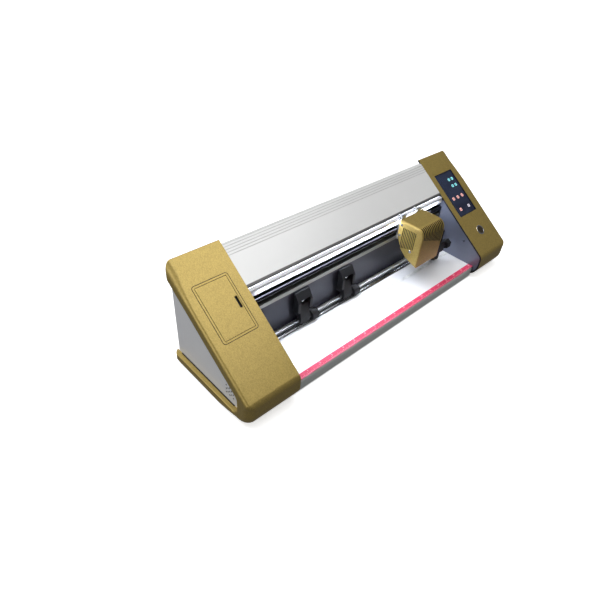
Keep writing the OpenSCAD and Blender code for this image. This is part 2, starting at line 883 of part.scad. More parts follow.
module power_supply() {
    color("silver") block([-(half_w - 14), -34, base_z + sheet_t], [-(half_w - 66), 50, 42]);
}

// Moulded module with the low-voltage inlet and the frame of the rocker switch
module power_inlet() {
    color("black") difference() {
        union() {
            block([module_x0 + gap, switch_y - 14, module_z0 + gap],
                  [module_x1 - gap, switch_y, module_z1 - gap]);
            block([module_x0 - 2, switch_y - 0.6, module_z0 - 2],
                  [module_x1 + 2, switch_y + 1, module_z1 + 2]);
        }
        rod_y_dir([-269, switch_y - 10, 30], 4, 20);
        block([-297.2, switch_y - 8, 23], [-284.8, switch_y + 2, 37]);
        rod_x([-298, switch_y - 3, 30], rocker_r + run, 14);
    }
    color("silver") rod_y_dir([-269, switch_y - 11, 30], 1.2, 9);
}

// Rocker on two pivot pins
module power_switch() {
    color("crimson") {
        along_x(-296.6, -285.4) polygon([
            [switch_y - 5, 24], [switch_y - 5, 36], [switch_y + 2.6, 35.8], [switch_y + 0.6, 30],
            [switch_y + 1, 23.8]]);
        rod_x([-297.8, switch_y - 3, 30], rocker_r, 13.6);
    }
}

module usb_port() {
    color("silver") difference() {
        block([usb_x0 + gap, switch_y - 16, usb_z0 + gap], [usb_x1 - gap, switch_y, usb_z1 - gap]);
        block([usb_x0 + 2, switch_y - 10, usb_z0 + 2], [usb_x1 - 2, switch_y + 1, usb_z1 - 2]);
    }
}

base_tray();
rubber_feet();
left_end_cap();
right_end_cap();
left_side_panel();
right_side_panel();
left_frame_plate();
right_frame_plate();
top_cover();
cross_beam();
front_edge_rail();
platen();
rear_platen();
ruler_strip();
cutting_strip();
led_bar();
grit_shaft();
shaft_bearings();
feed_gear();
feed_motor();
feed_pinion();
guide_rod();
drive_belt();
belt_pulley();
idler_pulley();
idler_bracket();
carriage_motor();
motor_bracket();
carriage_chassis();
carriage_bushings();
left_track_wheel();
right_track_wheel();
carriage_cover();
cover_screws();
lift_solenoid();
tool_slide();
blade_holder();
blade();
clamp_knob();
left_pinch_bracket();
left_pinch_arm();
left_pinch_axle();
left_pinch_wheel();
left_pinch_spring();
right_pinch_bracket();
right_pinch_arm();
right_pinch_axle();
right_pinch_wheel();
right_pinch_spring();
storage_box();
storage_door();
touch_screen();
display_module();
badge();
controller_board();
power_supply();
power_inlet();
power_switch();
usb_port();
plate_screws();
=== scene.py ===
import json
import math

import bmesh
import bpy
from mathutils import Matrix, Vector


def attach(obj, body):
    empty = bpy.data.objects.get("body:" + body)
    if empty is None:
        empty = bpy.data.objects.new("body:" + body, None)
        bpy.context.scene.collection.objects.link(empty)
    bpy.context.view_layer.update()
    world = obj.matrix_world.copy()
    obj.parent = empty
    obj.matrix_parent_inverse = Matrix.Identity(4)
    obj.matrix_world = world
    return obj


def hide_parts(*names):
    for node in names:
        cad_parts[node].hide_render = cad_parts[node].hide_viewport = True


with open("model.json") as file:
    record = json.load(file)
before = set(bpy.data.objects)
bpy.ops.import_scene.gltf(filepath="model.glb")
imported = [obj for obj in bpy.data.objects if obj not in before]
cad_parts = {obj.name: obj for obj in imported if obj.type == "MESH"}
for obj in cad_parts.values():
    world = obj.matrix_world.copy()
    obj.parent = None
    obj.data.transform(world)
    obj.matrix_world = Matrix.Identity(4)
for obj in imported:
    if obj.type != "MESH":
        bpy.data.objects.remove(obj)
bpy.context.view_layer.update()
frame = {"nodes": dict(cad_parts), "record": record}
NODES = frame["nodes"]

# ---------- sizes, in millimetres ----------

MM = 0.001
HALF_W = 325.0
NOSE_Y, BACK_Y = -92.0, 92.0
BASE_Z = 2.5
CAP_W, CAP_WALL = 91.2, 3.0
INNER_X = HALF_W - CAP_W  # inner edge of each cap
PANEL_X = HALF_W - 8.4  # outer face of the side panels
BAND_T, RAIL_H = 15.0, 13.0  # gold band round a side panel
SLOPE = math.radians(35.3)
SLOPE_MID = 115.0  # height of the slope at y = 0
SLOPE_Y0 = -79.0  # where distances up the slope start
SLOPE_NORMAL = 90 + math.degrees(SLOPE)
BEND = math.tan((math.pi / 2 - SLOPE) / 2)  # tangent length of a bend from upright to slope
TOP_Z = 22.5  # top of the platen
RULER_Y, RULER_T = -79.0, 0.4
INCH = 25.4
BEAM_LOW_Z, BEAM_TOP_Z = 29.0, 129.0
COVER_EDGE_Y = 26.0
RIBS, RIB_PITCH, RIB_INSET = 5, 3.6, 5.0
CARRIAGE_X, CARRIAGE_W = 95.0, 67.0
BOX_X, BOX_S, BOX_W, BOX_L, BOX_R = -278.7, 117.0, 57.6, 88.0, 4.0
SCREEN_X, SCREEN_S, SCREEN_W, SCREEN_L = 275.3, 118.5, 56.4, 95.0
BADGE_X, BADGE_S, BADGE_HOLE_R = 277.5, 32.0, 9.8
UP = Vector((0, 0, 1))


def slope_z(y):
    """Height of the sloping face at y."""
    return SLOPE_MID + y * math.tan(SLOPE)


def on_slope(x, s, lift=0.0):
    """Matrix of the plane on the sloping face: x across, y up the slope, z outwards."""
    return (Matrix.Translation((x, SLOPE_Y0, slope_z(SLOPE_Y0)))
            @ Matrix.Rotation(SLOPE, 4, "X") @ Matrix.Translation((0, s, lift)))


# ---------- shapes ----------

def arc(cy, cz, r, a0, a1, n=16):
    """Points (y, z) of an arc from angle a0 to a1, in degrees."""
    turn = [math.radians(a0 + (a1 - a0) * i / n) for i in range(n + 1)]
    return [(cy + r * math.cos(a), cz + r * math.sin(a)) for a in turn]


def prism(corners, vec):
    """Closed solid: one flat face pushed along vec."""
    bm = bmesh.new()
    face = bm.faces.new([bm.verts.new(c) for c in corners])
    made = bmesh.ops.extrude_face_region(bm, geom=[face])["geom"]
    bmesh.ops.translate(bm, vec=vec, verts=[v for v in made if isinstance(v, bmesh.types.BMVert)])
    bmesh.ops.recalc_face_normals(bm, faces=bm.faces)
    return bm


def bar(outline, x0, x1):
    """Solid along X from its side outline (y, z)."""
    return prism([(x0, y, z) for y, z in outline], (x1 - x0, 0, 0))


def rounded(w, l, r, n=6):
    """Corners of a rounded rectangle about the middle."""
    points = []
    for sx, sy, a in ((1, 1, 0), (-1, 1, 90), (-1, -1, 180), (1, -1, 270)):
        points += arc(sx * (w / 2 - r), sy * (l / 2 - r), r, a, a + 90, n)
    return points


def plate(w, l, r, z0, z1, place=None, n=6):
    """Rounded plate from z0 to z1, moved by place."""
    bm = prism([(x, y, z0) for x, y in rounded(w, l, r, n)], (0, 0, z1 - z0))
    if place is not None:
        bmesh.ops.transform(bm, matrix=place, verts=bm.verts)
    return bm


def block(lo, hi):
    """Box from its low corner to its high corner."""
    bm = bmesh.new()
    lo, hi = Vector(lo), Vector(hi)
    bmesh.ops.create_cube(bm, size=1, matrix=Matrix.LocRotScale((lo + hi) / 2, None, hi - lo))
    return bm


def rod(p, axis, r, length, n=32, r2=None):
    """Cylinder or cone from p along axis."""
    bm = bmesh.new()
    axis = Vector(axis).normalized()
    turn = axis.to_track_quat("Z", "Y").to_matrix().to_4x4()
    place = Matrix.Translation(Vector(p) + axis * length / 2) @ turn
    bmesh.ops.create_cone(bm, cap_ends=True, segments=n, radius1=r, radius2=r if r2 is None else r2,
                          depth=length, matrix=place)
    return bm


def together(*solids):
    """One bmesh that holds all of these."""
    whole = bmesh.new()
    for bm in solids:
        mesh = bpy.data.meshes.new("part")
        bm.to_mesh(mesh)
        bm.free()
        whole.from_mesh(mesh)
        bpy.data.meshes.remove(mesh)
    return whole


def mirrored(bm):
    """The same shape on the other side of the machine."""
    bmesh.ops.scale(bm, vec=(-1, 1, 1), verts=bm.verts)
    bmesh.ops.reverse_faces(bm, faces=bm.faces)
    return bm


def temporary(bm):
    """Object that holds bm for a while, for its modifiers."""
    mesh = bpy.data.meshes.new("part")
    bm.to_mesh(mesh)
    bm.free()
    ob = bpy.data.objects.new("part", mesh)
    bpy.context.scene.collection.objects.link(ob)
    return ob


def settled(ob, *extra):
    """Bmesh of ob with its modifiers applied; ob and the extra objects go."""
    graph = bpy.context.evaluated_depsgraph_get()
    mesh = bpy.data.meshes.new_from_object(ob.evaluated_get(graph))
    bm = bmesh.new()
    bm.from_mesh(mesh)
    bpy.data.meshes.remove(mesh)
    for o in (ob, *extra):
        data = o.data
        bpy.data.objects.remove(o)
        bpy.data.meshes.remove(data)
    return bm


def cut(bm, *cutters):
    """bm with each cutter taken out of it. Faces left by a cutter keep its material number."""
    ob = temporary(bm)
    tools = [temporary(c) for c in cutters]
    for tool in tools:
        m = ob.modifiers.new("cut", "BOOLEAN")
        m.operation, m.solver, m.object = "DIFFERENCE", "MANIFOLD", tool
    return settled(ob, *tools)


def round_edges(bm, edges, width, segments=3, clamp=False):
    """Rounds these edges over."""
    if edges:
        bmesh.ops.bevel(bm, geom=edges, offset=width, offset_type="OFFSET", segments=segments,
                        profile=0.5, affect="EDGES", clamp_overlap=clamp, material=-1)
    return bm


def sharp_edges(bm, angle=40):
    """Outer edges that turn by more than angle, in degrees."""
    return [e for e in bm.edges if len(e.link_faces) == 2
            and e.calc_face_angle(0) > math.radians(angle) and e.is_convex]


def softened(bm, width, segments=2, angle=40, clamp=True):
    """Rounds every outer edge that is sharper than angle."""
    return round_edges(bm, sharp_edges(bm, angle), width, segments, clamp)


def of_node(node):
    """The CAD node's own shape as clean faces, in millimetres."""
    bm = bmesh.new()
    bm.from_mesh(NODES[node].data)
    bmesh.ops.scale(bm, vec=(1 / MM,) * 3, verts=bm.verts)
    bmesh.ops.remove_doubles(bm, verts=bm.verts, dist=0.002)
    bmesh.ops.dissolve_limit(bm, angle_limit=math.radians(0.6), verts=bm.verts, edges=bm.edges)
    return bm


def piece(name, bm, finish, body, crease=35, stands_for=()):
    """Makes the object, in metres, and puts it on its body."""
    bmesh.ops.scale(bm, vec=(MM,) * 3, verts=bm.verts)
    for f in bm.faces:
        f.smooth = True
    for e in bm.edges:
        e.smooth = len(e.link_faces) == 2 and e.calc_face_angle(0) < math.radians(crease)
    mesh = bpy.data.meshes.new(name)
    bm.to_mesh(mesh)
    bm.free()
    ob = bpy.data.objects.new(name, mesh)
    bpy.context.scene.collection.objects.link(ob)
    for m in finish if isinstance(finish, (list, tuple)) else [finish]:
        mesh.materials.append(m)
    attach(ob, body)
    m = ob.modifiers.new("even_shading", "WEIGHTED_NORMAL")
    m.keep_sharp = True
    if stands_for:
        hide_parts(*stands_for)
    return ob


# ---------- finishes ----------

class Finish:
    """A Principled material with detail on Object coordinates."""

    def __init__(self, name, colour, metallic=0.0, rough=0.5, coat=0.0, coat_rough=0.1, ior=1.5):
        self.m = bpy.data.materials.new(name)
        self.m.use_nodes = True
        self.nodes, self.links = self.m.node_tree.nodes, self.m.node_tree.links
        self.s = self.nodes["Principled BSDF"]
        self.set("Base Color", (*colour, 1))
        self.set("Metallic", metallic)
        self.set("Roughness", rough)
        self.set("Coat Weight", coat)
        self.set("Coat Roughness", coat_rough)
        self.set("IOR", ior)
        self.colour, self.rough = colour, rough
        self.place = self.nodes.new("ShaderNodeTexCoord").outputs["Object"]
        self.normal = None

    def set(self, socket, value):
        """Fixed value on one of the shader's sockets."""
        self.s.inputs[socket].default_value = value

    def stretch(self, scale):
        """Object coordinates scaled along each axis."""
        n = self.nodes.new("ShaderNodeMapping")
        n.inputs["Scale"].default_value = scale
        self.links.new(self.place, n.inputs["Vector"])
        return n.outputs["Vector"]

    def noise(self, size_mm, detail=4.0, stretch=(1, 1, 1), rough=0.55):
        """Noise whose blotches are about size_mm across."""
        n = self.nodes.new("ShaderNodeTexNoise")
        n.inputs["Scale"].default_value = 1000 / size_mm
        n.inputs["Detail"].default_value = detail
        n.inputs["Roughness"].default_value = rough
        self.links.new(self.stretch(stretch), n.inputs["Vector"])
        return n.outputs["Fac"]

    def cells(self, size_mm, what="Color"):
        """Random cells about size_mm across."""
        n = self.nodes.new("ShaderNodeTexVoronoi")
        n.inputs["Scale"].default_value = 1000 / size_mm
        self.links.new(self.place, n.inputs["Vector"])
        return n.outputs[what]

    def ramp(self, fac, *stops, steps=False):
        """Colours or grey levels at places from 0 to 1."""
        n = self.nodes.new("ShaderNodeValToRGB")
        if steps:
            n.color_ramp.interpolation = "CONSTANT"
        e = n.color_ramp.elements
        while len(e) < len(stops):
            e.new(0.5)
        for item, (at, c) in zip(e, stops):
            item.position = at
            item.color = (c, c, c, 1) if isinstance(c, (int, float)) else (*c, 1)
        self.links.new(fac, n.inputs["Fac"])
        return n.outputs["Color"]

    def mix(self, fac, a, b, blend="MIX"):
        """Colour a turning into b with fac."""
        n = self.nodes.new("ShaderNodeMix")
        n.data_type = "RGBA"
        n.blend_type = blend
        for key, value in ((0, fac), (6, a), (7, b)):
            if isinstance(value, (int, float)):
                n.inputs[key].default_value = value
            elif isinstance(value, (tuple, list)):
                n.inputs[key].default_value = (*value, 1)
            else:
                self.links.new(value, n.inputs[key])
        return n.outputs[2]

    def height(self, low, high, axis="Z"):
        """0 at low mm along the axis, 1 at high mm."""
        split = self.nodes.new("ShaderNodeSeparateXYZ")
        self.links.new(self.place, split.inputs[0])
        n = self.nodes.new("ShaderNodeMapRange")
        n.inputs["From Min"].default_value = low * MM
        n.inputs["From Max"].default_value = high * MM
        self.links.new(split.outputs[axis], n.inputs["Value"])
        return n.outputs["Result"]

    def paint(self, colour):
        """Surface colour from a node."""
        self.links.new(colour, self.s.inputs["Base Color"])
        return self

    def shine(self, fac, low, high):
        """Roughness from low to high with fac."""
        n = self.nodes.new("ShaderNodeMapRange")
        n.inputs["To Min"].default_value = low
        n.inputs["To Max"].default_value = high
        self.links.new(fac, n.inputs["Value"])
        self.links.new(n.outputs["Result"], self.s.inputs["Roughness"])
        return self

    def bump(self, fac, strength, depth_mm):
        """Small relief, added to any before it."""
        n = self.nodes.new("ShaderNodeBump")
        n.inputs["Strength"].default_value = strength
        n.inputs["Distance"].default_value = depth_mm * MM
        self.links.new(fac, n.inputs["Height"])
        if self.normal is not None:
            self.links.new(self.normal, n.inputs["Normal"])
        self.normal = n.outputs["Normal"]
        self.links.new(self.normal, self.s.inputs["Normal"])
        return self

    def light(self, colour, strength):
        """Glow of its own."""
        self.set("Emission Color", (*colour, 1))
        self.set("Emission Strength", strength)
        return self


def shade(c, k):
    """Colour c made k times as bright."""
    return tuple(min(1.0, x * k) for x in c)


def metallic_lacquer(name, colour):
    """Gold lacquer: fine flake, soft cloudiness and a thin clear coat."""
    f = Finish(name, colour, metallic=0.7, rough=0.42, coat=0.25, coat_rough=0.22)
    cloud = f.noise(9, 3)
    flake = f.cells(1.1)
    base = f.mix(f.ramp(cloud, (0.35, 0), (0.7, 1)), shade(colour, 0.97), shade(colour, 1.03))
    f.paint(f.mix(0.3, base, f.ramp(flake, (0.0, shade(colour, 0.45)), (1.0, shade(colour, 1.6)))))
    f.shine(f.noise(1.6, 2), 0.36, 0.5)
    f.bump(f.noise(0.7, 2), 0.12, 0.05)
    return f.m


def painted(name, colour, rough=0.45, peel=0.9, metallic=0.0, coat=0.0):
    """Paint with orange peel and faint cloudiness."""
    f = Finish(name, colour, metallic=metallic, rough=rough, coat=coat)
    f.paint(f.mix(f.ramp(f.noise(26, 4), (0.3, 0), (0.75, 1)), shade(colour, 0.98), shade(colour, 1.015)))
    f.shine(f.noise(3, 3), rough - 0.05, rough + 0.05)
    f.bump(f.noise(peel, 2), 0.08, 0.06)
    return f.m


def drawn_metal(name, colour, rough=0.3, along=(0.02, 1, 1), metallic=1.0, line_mm=0.35):
    """Metal with fine lines drawn along one axis."""
    f = Finish(name, colour, metallic=metallic, rough=rough)
    lines = f.noise(line_mm, 3, along)
    f.paint(f.mix(lines, shade(colour, 0.88), shade(colour, 1.08)))
    f.shine(lines, rough - 0.08, rough + 0.1)
    f.bump(lines, 0.12, 0.02)
    return f.m


def moulded(name, colour, rough=0.55, grain=0.5, depth=0.05):
    """Moulded plastic with a fine spark-eroded grain."""
    f = Finish(name, colour, rough=rough)
    f.paint(f.mix(f.ramp(f.noise(9, 4), (0.35, 0), (0.7, 1)), shade(colour, 0.8), shade(colour, 1.25)))
    f.set("Specular IOR Level", 0.35)
    f.shine(f.noise(1.5, 3), rough - 0.1, rough + 0.1)
    f.bump(f.noise(grain, 2), 0.25, depth)
    return f.m


def glowing(name, colour, strength, spread=6):
    """Lit diffuser with a faint cloudiness."""
    f = Finish(name, colour, rough=0.4).light(colour, strength)
    f.paint(f.mix(f.noise(spread, 2), shade(colour, 0.9), colour))
    return f.m


gold = metallic_lacquer("gold_lacquer", (0.47, 0.345, 0.10))
# black moulding inside the caps; on louvre slot walls and the storage door gap it is painted shade
black_inside_and_shade = moulded("black_moulding_and_painted_shade", (0.012, 0.012, 0.014), 0.5)
grey_paint = painted("side_panel_paint", (0.84, 0.85, 0.88), 0.42)
plate_paint = painted("frame_plate_paint", (0.20, 0.22, 0.29), 0.3, metallic=0.5)
enamel = painted("platen_enamel", (0.86, 0.86, 0.87), 0.22, coat=0.3)
tray_paint = painted("tray_powder_coat", (0.02, 0.02, 0.022), 0.5)
motor_paint = painted("motor_black", (0.012, 0.012, 0.013), 0.35)
bright_metal = drawn_metal("satin_aluminium", (0.72, 0.73, 0.74), 0.28)
rail_metal = drawn_metal("rail_aluminium", (0.80, 0.83, 0.81), 0.3, metallic=0.25)
turned_metal = drawn_metal("ground_steel", (0.62, 0.63, 0.65), 0.25, (1, 0.05, 1))
# guide rod: colour far darker than steel, painted shade of the dark channel it runs in
shade_darkened_steel = drawn_metal("polished_steel", (0.03, 0.03, 0.035), 0.3, line_mm=0.8)
brass = drawn_metal("turned_brass", (0.70, 0.50, 0.20), 0.25, (1, 1, 0.1))
black = moulded("bracket_black", (0.003, 0.003, 0.0035), 0.55)
# black for seals, and for sheets of painted shade
black_seal_and_shade = moulded("black_seal_and_painted_shade", (0.008, 0.008, 0.009), 0.6)
rubber = moulded("wheel_rubber", (0.014, 0.014, 0.015), 0.7, 0.35, 0.1)
nylon = moulded("white_nylon", (0.75, 0.74, 0.69), 0.45)
strip_finish = moulded("cutting_strip_plastic", (0.74, 0.74, 0.73), 0.5, 0.8)
switch_red = moulded("rocker_red", (0.35, 0.015, 0.015), 0.25, 2.0, 0.02)
chrome = drawn_metal("badge_chrome", (0.82, 0.82, 0.83), 0.1, (1, 1, 1), line_mm=2)
badge_metal = drawn_metal("badge_face_metal", (0.16, 0.13, 0.09), 0.35)


def board_finish():
    """Green solder mask with darker tracks."""
    f = Finish("board_solder_mask", (0.01, 0.12, 0.05), rough=0.3, coat=0.4)
    tracks = f.ramp(f.cells(3.0, "Distance"), (0.28, 0), (0.36, 1), steps=True)
    f.paint(f.mix(tracks, (0.015, 0.16, 0.07), (0.008, 0.09, 0.04)))
    f.bump(tracks, 0.2, 0.03)
    return f.m


ALONG_X = (0.02, 1, 1)  # draws noise out into lines along the machine


def beam_finish():
    """Beam, by height: dark wall, grey lip, a black channel band that is painted shade, and a near-white top
    rail that is a painted highlight.
    """
    f = Finish("beam_anodised_painted_light", (0.1, 0.1, 0.11), metallic=0.85, rough=0.3)
    h = f.height(BEAM_LOW_Z, BEAM_TOP_Z)
    lip, channel, rail = 0.605, 0.70, 0.884
    # near-black band: painted shade in the channel; near-white band: painted highlight on the top rail
    zones = f.ramp(h, (0.0, (0.045, 0.047, 0.057)), (lip, (0.30, 0.31, 0.28)),
                   (channel, (0.006, 0.006, 0.007)), (rail, (0.86, 0.86, 0.88)), steps=True)
    lines = f.ramp(f.noise(0.4, 3, ALONG_X), (0.3, 0), (0.7, 1))
    f.paint(f.mix(lines, f.mix(0.12, zones, (0, 0, 0)), zones))
    # top rail made less metallic so its painted highlight stays bright
    f.links.new(f.ramp(h, (0.0, 0.85), (rail, 0.15), steps=True), f.s.inputs["Metallic"])
    f.shine(f.noise(0.5, 3, ALONG_X), 0.24, 0.40)
    f.bump(f.noise(0.4, 2, ALONG_X), 0.06, 0.02)
    return f.m


def cover_finish_with_ribs():
    """Anodised cover: fine speckle, a dark band along the front edge, painted shade in the rear grooves."""
    f = Finish("cover_anodised", (0.82, 0.825, 0.82), metallic=0.2, rough=0.34)
    speckle = f.mix(f.noise(30, 3), (0.82, 0.825, 0.82), (0.85, 0.855, 0.85))
    ribs_from = BACK_Y - RIB_INSET - RIB_PITCH * (RIBS + 1) - 1.4
    half_width = 0.022
    stops = [(0.0, 1.0)]
    for i in range(RIBS, 0, -1):
        at = (BACK_Y - RIB_INSET - RIB_PITCH * i - ribs_from) / (BACK_Y - ribs_from)
        stops += [(at - half_width, 1.0), (at, 0.55), (at + half_width, 1.0)]
    ribbed = f.mix(1.0, speckle, f.ramp(f.height(ribs_from, BACK_Y, "Y"), *stops), "MULTIPLY")
    edge = f.height(COVER_EDGE_Y, COVER_EDGE_Y + 6, "Y")
    front_edge_dark = f.ramp(edge, (0.0, 0.12), (0.46, 0.16), (0.56, 1.0))
    f.paint(f.mix(1.0, ribbed, front_edge_dark, "MULTIPLY"))
    f.shine(f.noise(1.5, 3, (0.1, 1, 1)), 0.30, 0.40)
    f.bump(f.noise(0.6, 2), 0.06, 0.03)
    return f.m


def ruler_finish():
    """Red printed strip, a little uneven."""
    f = Finish("ruler_print", (0.72, 0.035, 0.11), rough=0.5)
    blotches = f.ramp(f.noise(2.2, 5), (0.35, 0), (0.65, 1))
    f.paint(f.mix(blotches, (0.60, 0.022, 0.085), (0.74, 0.05, 0.13)))
    f.shine(f.noise(4, 3), 0.45, 0.6)
    f.bump(f.noise(1.2, 2), 0.1, 0.02)
    return f.m


def grit_finish():
    """Ground shaft with bands of grit under the wheels."""
    f = Finish("grit_steel", (0.3, 0.31, 0.33), metallic=1.0, rough=0.22)
    grit = f.cells(0.35, "Distance")
    f.paint(f.mix(f.ramp(grit, (0.2, 0), (0.6, 1)), (0.14, 0.145, 0.15), (0.36, 0.37, 0.39)))
    f.shine(grit, 0.14, 0.34)
    f.bump(grit, 0.3, 0.05)
    return f.m


def glass_finish():
    """Dark touch glass with faint smears."""
    f = Finish("touch_glass", (0.010, 0.016, 0.045), rough=0.12, coat=0.6, coat_rough=0.04)
    depth = f.ramp(f.noise(30, 2), (0.35, 0), (0.65, 1))
    f.paint(f.mix(depth, (0.008, 0.012, 0.038), (0.020, 0.030, 0.070)))
    f.shine(f.noise(18, 5), 0.08, 0.2)
    return f.m


board = board_finish()
beam_metal = beam_finish()
cover_finish = cover_finish_with_ribs()
ruler_red = ruler_finish()
grit_steel = grit_finish()
glass = glass_finish()
tick_white = painted("ruler_ink", (0.93, 0.62, 0.68), 0.4)
led_glow = glowing("led_diffuser", (0.84, 0.89, 1.0), 12.0)
icon_cyan = glowing("icon_cyan", (0.25, 0.75, 0.78), 0.65)
icon_red = glowing("icon_red", (0.85, 0.42, 0.38), 0.6)
icon_white = glowing("icon_white", (0.75, 0.70, 0.78), 0.5)
icon_dark = moulded("icon_symbol", (0.05, 0.07, 0.12), 0.3)

NODE_FINISH = {
    "base_tray": tray_paint, "rubber_feet": rubber, "rear_platen": enamel, "platen": enamel,
    "ruler_strip": ruler_red, "cutting_strip": strip_finish, "led_bar": led_glow,
    "grit_shaft": grit_steel, "shaft_bearings": turned_metal, "feed_gear": nylon, "feed_motor": motor_paint,
    "feed_pinion": brass, "guide_rod": shade_darkened_steel, "drive_belt": rubber, "belt_pulley": bright_metal,
    "idler_pulley": bright_metal, "idler_bracket": tray_paint, "carriage_motor": motor_paint,
    "motor_bracket": tray_paint, "carriage_chassis": bright_metal, "carriage_bushings": brass,
    "left_track_wheel": turned_metal, "right_track_wheel": turned_metal, "cover_screws": turned_metal,
    "lift_solenoid": motor_paint, "tool_slide": black, "blade_holder": black, "blade": turned_metal,
    "clamp_knob": black, "display_module": board, "controller_board": board, "power_supply": bright_metal,
    "power_inlet": black, "power_switch": switch_red, "usb_port": turned_metal, "plate_screws": turned_metal,
    "left_end_cap": gold, "right_end_cap": gold,
    "left_side_panel": grey_paint, "right_side_panel": grey_paint,
    "left_frame_plate": plate_paint, "right_frame_plate": plate_paint, "top_cover": cover_finish,
    "cross_beam": beam_metal, "front_edge_rail": rail_metal, "carriage_cover": gold, "storage_box": gold,
    "storage_door": gold, "touch_screen": glass, "badge": chrome,
}
for side in ("left", "right"):
    for part, finish in (("bracket", black), ("arm", black), ("axle", turned_metal), ("wheel", rubber),
                         ("spring", turned_metal)):
        NODE_FINISH[f"{side}_pinch_{part}"] = finish
for node, finish in NODE_FINISH.items():
    NODES[node].data.materials.clear()
    NODES[node].data.materials.append(finish)

BODY_OF = {n: b for b, members in frame["record"]["behaviour"]["bodies"].items() for n in members}


def edge_softened(node, width=0.35, segments=2, angle=40, name=None, clamp=True, finish=None):
    """The node's own shape with its outer edges rounded, in its place."""
    bm = softened(of_node(node), width, segments, angle, clamp)
    return piece(name or node + "_finished", bm, finish or NODE_FINISH[node], BODY_OF[node],
                 stands_for=(node,))


# ---------- end caps ----------

NOSE_LOW_R, NOSE_TOP_R = 28.0, 12.0
BEND_Z = slope_z(NOSE_Y) - NOSE_TOP_R * BEND  # centre of the bend above the nose
CAP_EDGE_R, CAP_NOSE_R, CAP_BACK_R = 5.5, 12.5, 12.5  # rounding of the outer edge
CAP_CORNER_R = 1.5
WINDOW_INSET, WINDOW_R = 26.0, 13.0
BEND_STEPS, TOP_STEPS, ROUND_STEPS = 12, 12, 8


def cap_outline(t=0.0, past=0.0):
    """Side outline (y, z) of the cap, t inside its surface, run out past the back."""
    back = BACK_Y + past
    return ([(back, BASE_Z + t)]
            + arc(NOSE_Y + NOSE_LOW_R, BASE_Z + NOSE_LOW_R, NOSE_LOW_R - t, 270, 180, 20)
            + arc(NOSE_Y + NOSE_TOP_R, BEND_Z, NOSE_TOP_R - t, 180, SLOPE_NORMAL, 10)
            + [(back, slope_z(back) - t / math.cos(SLOPE))])


def band_window():
    """Side outline of the opening in the gold band, open at the back."""
    low, front, back = BASE_Z + RAIL_H, NOSE_Y + WINDOW_INSET, BACK_Y + 1
    drop = BAND_T / math.cos(SLOPE)
    return ([(back, low)]
            + arc(front + WINDOW_R, low + WINDOW_R, WINDOW_R, 270, 180, 10)
            + arc(front + WINDOW_R, slope_z(front) - drop - WINDOW_R * BEND, WINDOW_R,
                  180, SLOPE_NORMAL, 10)
            + [(back, slope_z(back) - drop)])


def rounded_point(y, z, away, r):
    """Outline point, the point its rounding ends at, and its radius. Away is the way out."""
    return y, z, y - r * math.cos(away), z - r * math.sin(away), r


def cap_rings():
    """Side outline of the cap with the rounding of its outer edge at each point."""
    low_y, low_z = NOSE_Y + NOSE_LOW_R, BASE_Z + NOSE_LOW_R
    rings = [(y, BASE_Z, y, BASE_Z + r, r)
             for y, r in ((74, 3.0), (40, 3.0), (10, 3.0), (-25, 3.0), (-45, 7.0))]
    for y, z in arc(low_y, low_z, NOSE_LOW_R, 270, 180, 20):
        rings.append(rounded_point(y, z, math.atan2(z - low_z, y - low_y), CAP_NOSE_R))
    for third in (1 / 3, 2 / 3):
        z = low_z + (BEND_Z - low_z) * third
        rings.append(rounded_point(NOSE_Y, z, math.pi, CAP_NOSE_R))
    bend_y = NOSE_Y + NOSE_TOP_R
    bend = arc(bend_y, BEND_Z, NOSE_TOP_R, 180, SLOPE_NORMAL, BEND_STEPS)
    for i, (y, z) in enumerate(bend):
        r = NOSE_TOP_R + (CAP_EDGE_R - NOSE_TOP_R) * i / BEND_STEPS
        rings.append(rounded_point(y, z, math.atan2(z - BEND_Z, y - bend_y), r))
    y0, y1 = bend[-1][0], BACK_Y - CAP_BACK_R - 8
    for i in range(1, TOP_STEPS + 1):
        y = y0 + (y1 - y0) * i / TOP_STEPS
        r = CAP_EDGE_R + (CAP_BACK_R - CAP_EDGE_R) * max(0.0, i - 8) ** 2 / 16
        rings.append(rounded_point(y, slope_z(y), math.radians(SLOPE_NORMAL), r))
    in_y = BACK_Y - CAP_BACK_R
    mitre = (in_y, slope_z(in_y) - CAP_BACK_R / math.cos(SLOPE))
    corner_y = BACK_Y - CAP_CORNER_R
    corner_z = slope_z(corner_y) - CAP_CORNER_R / math.cos(SLOPE)
    for y, z in arc(corner_y, corner_z, CAP_CORNER_R, SLOPE_NORMAL, 0, 5):
        rings.append((y, z, *mitre, CAP_BACK_R))
    for z in (140, 80, 25):
        rings.append((BACK_Y, z, in_y, z, CAP_BACK_R))
    rings.append((BACK_Y, BASE_Z, in_y, BASE_Z + 3, CAP_BACK_R))
    return rings


def lofted(rings):
    """Closed solid through rings of equal count, each one extruded from the last."""
    bm = bmesh.new()
    ring = [bm.verts.new(c) for c in rings[0]]
    bm.faces.new(ring)
    for points in rings[1:]:
        edges = [bm.edges.get((ring[i - 1], ring[i])) for i in range(len(ring))]
        made = set(bmesh.ops.extrude_edge_only(bm, edges=edges)["geom"])
        ring = [next(e.other_vert(v) for e in v.link_edges if e.other_vert(v) in made) for v in ring]
        for v, c in zip(ring, points):
            v.co = c
    bm.faces.new(ring)
    bmesh.ops.recalc_face_normals(bm, faces=bm.faces)
    return bm


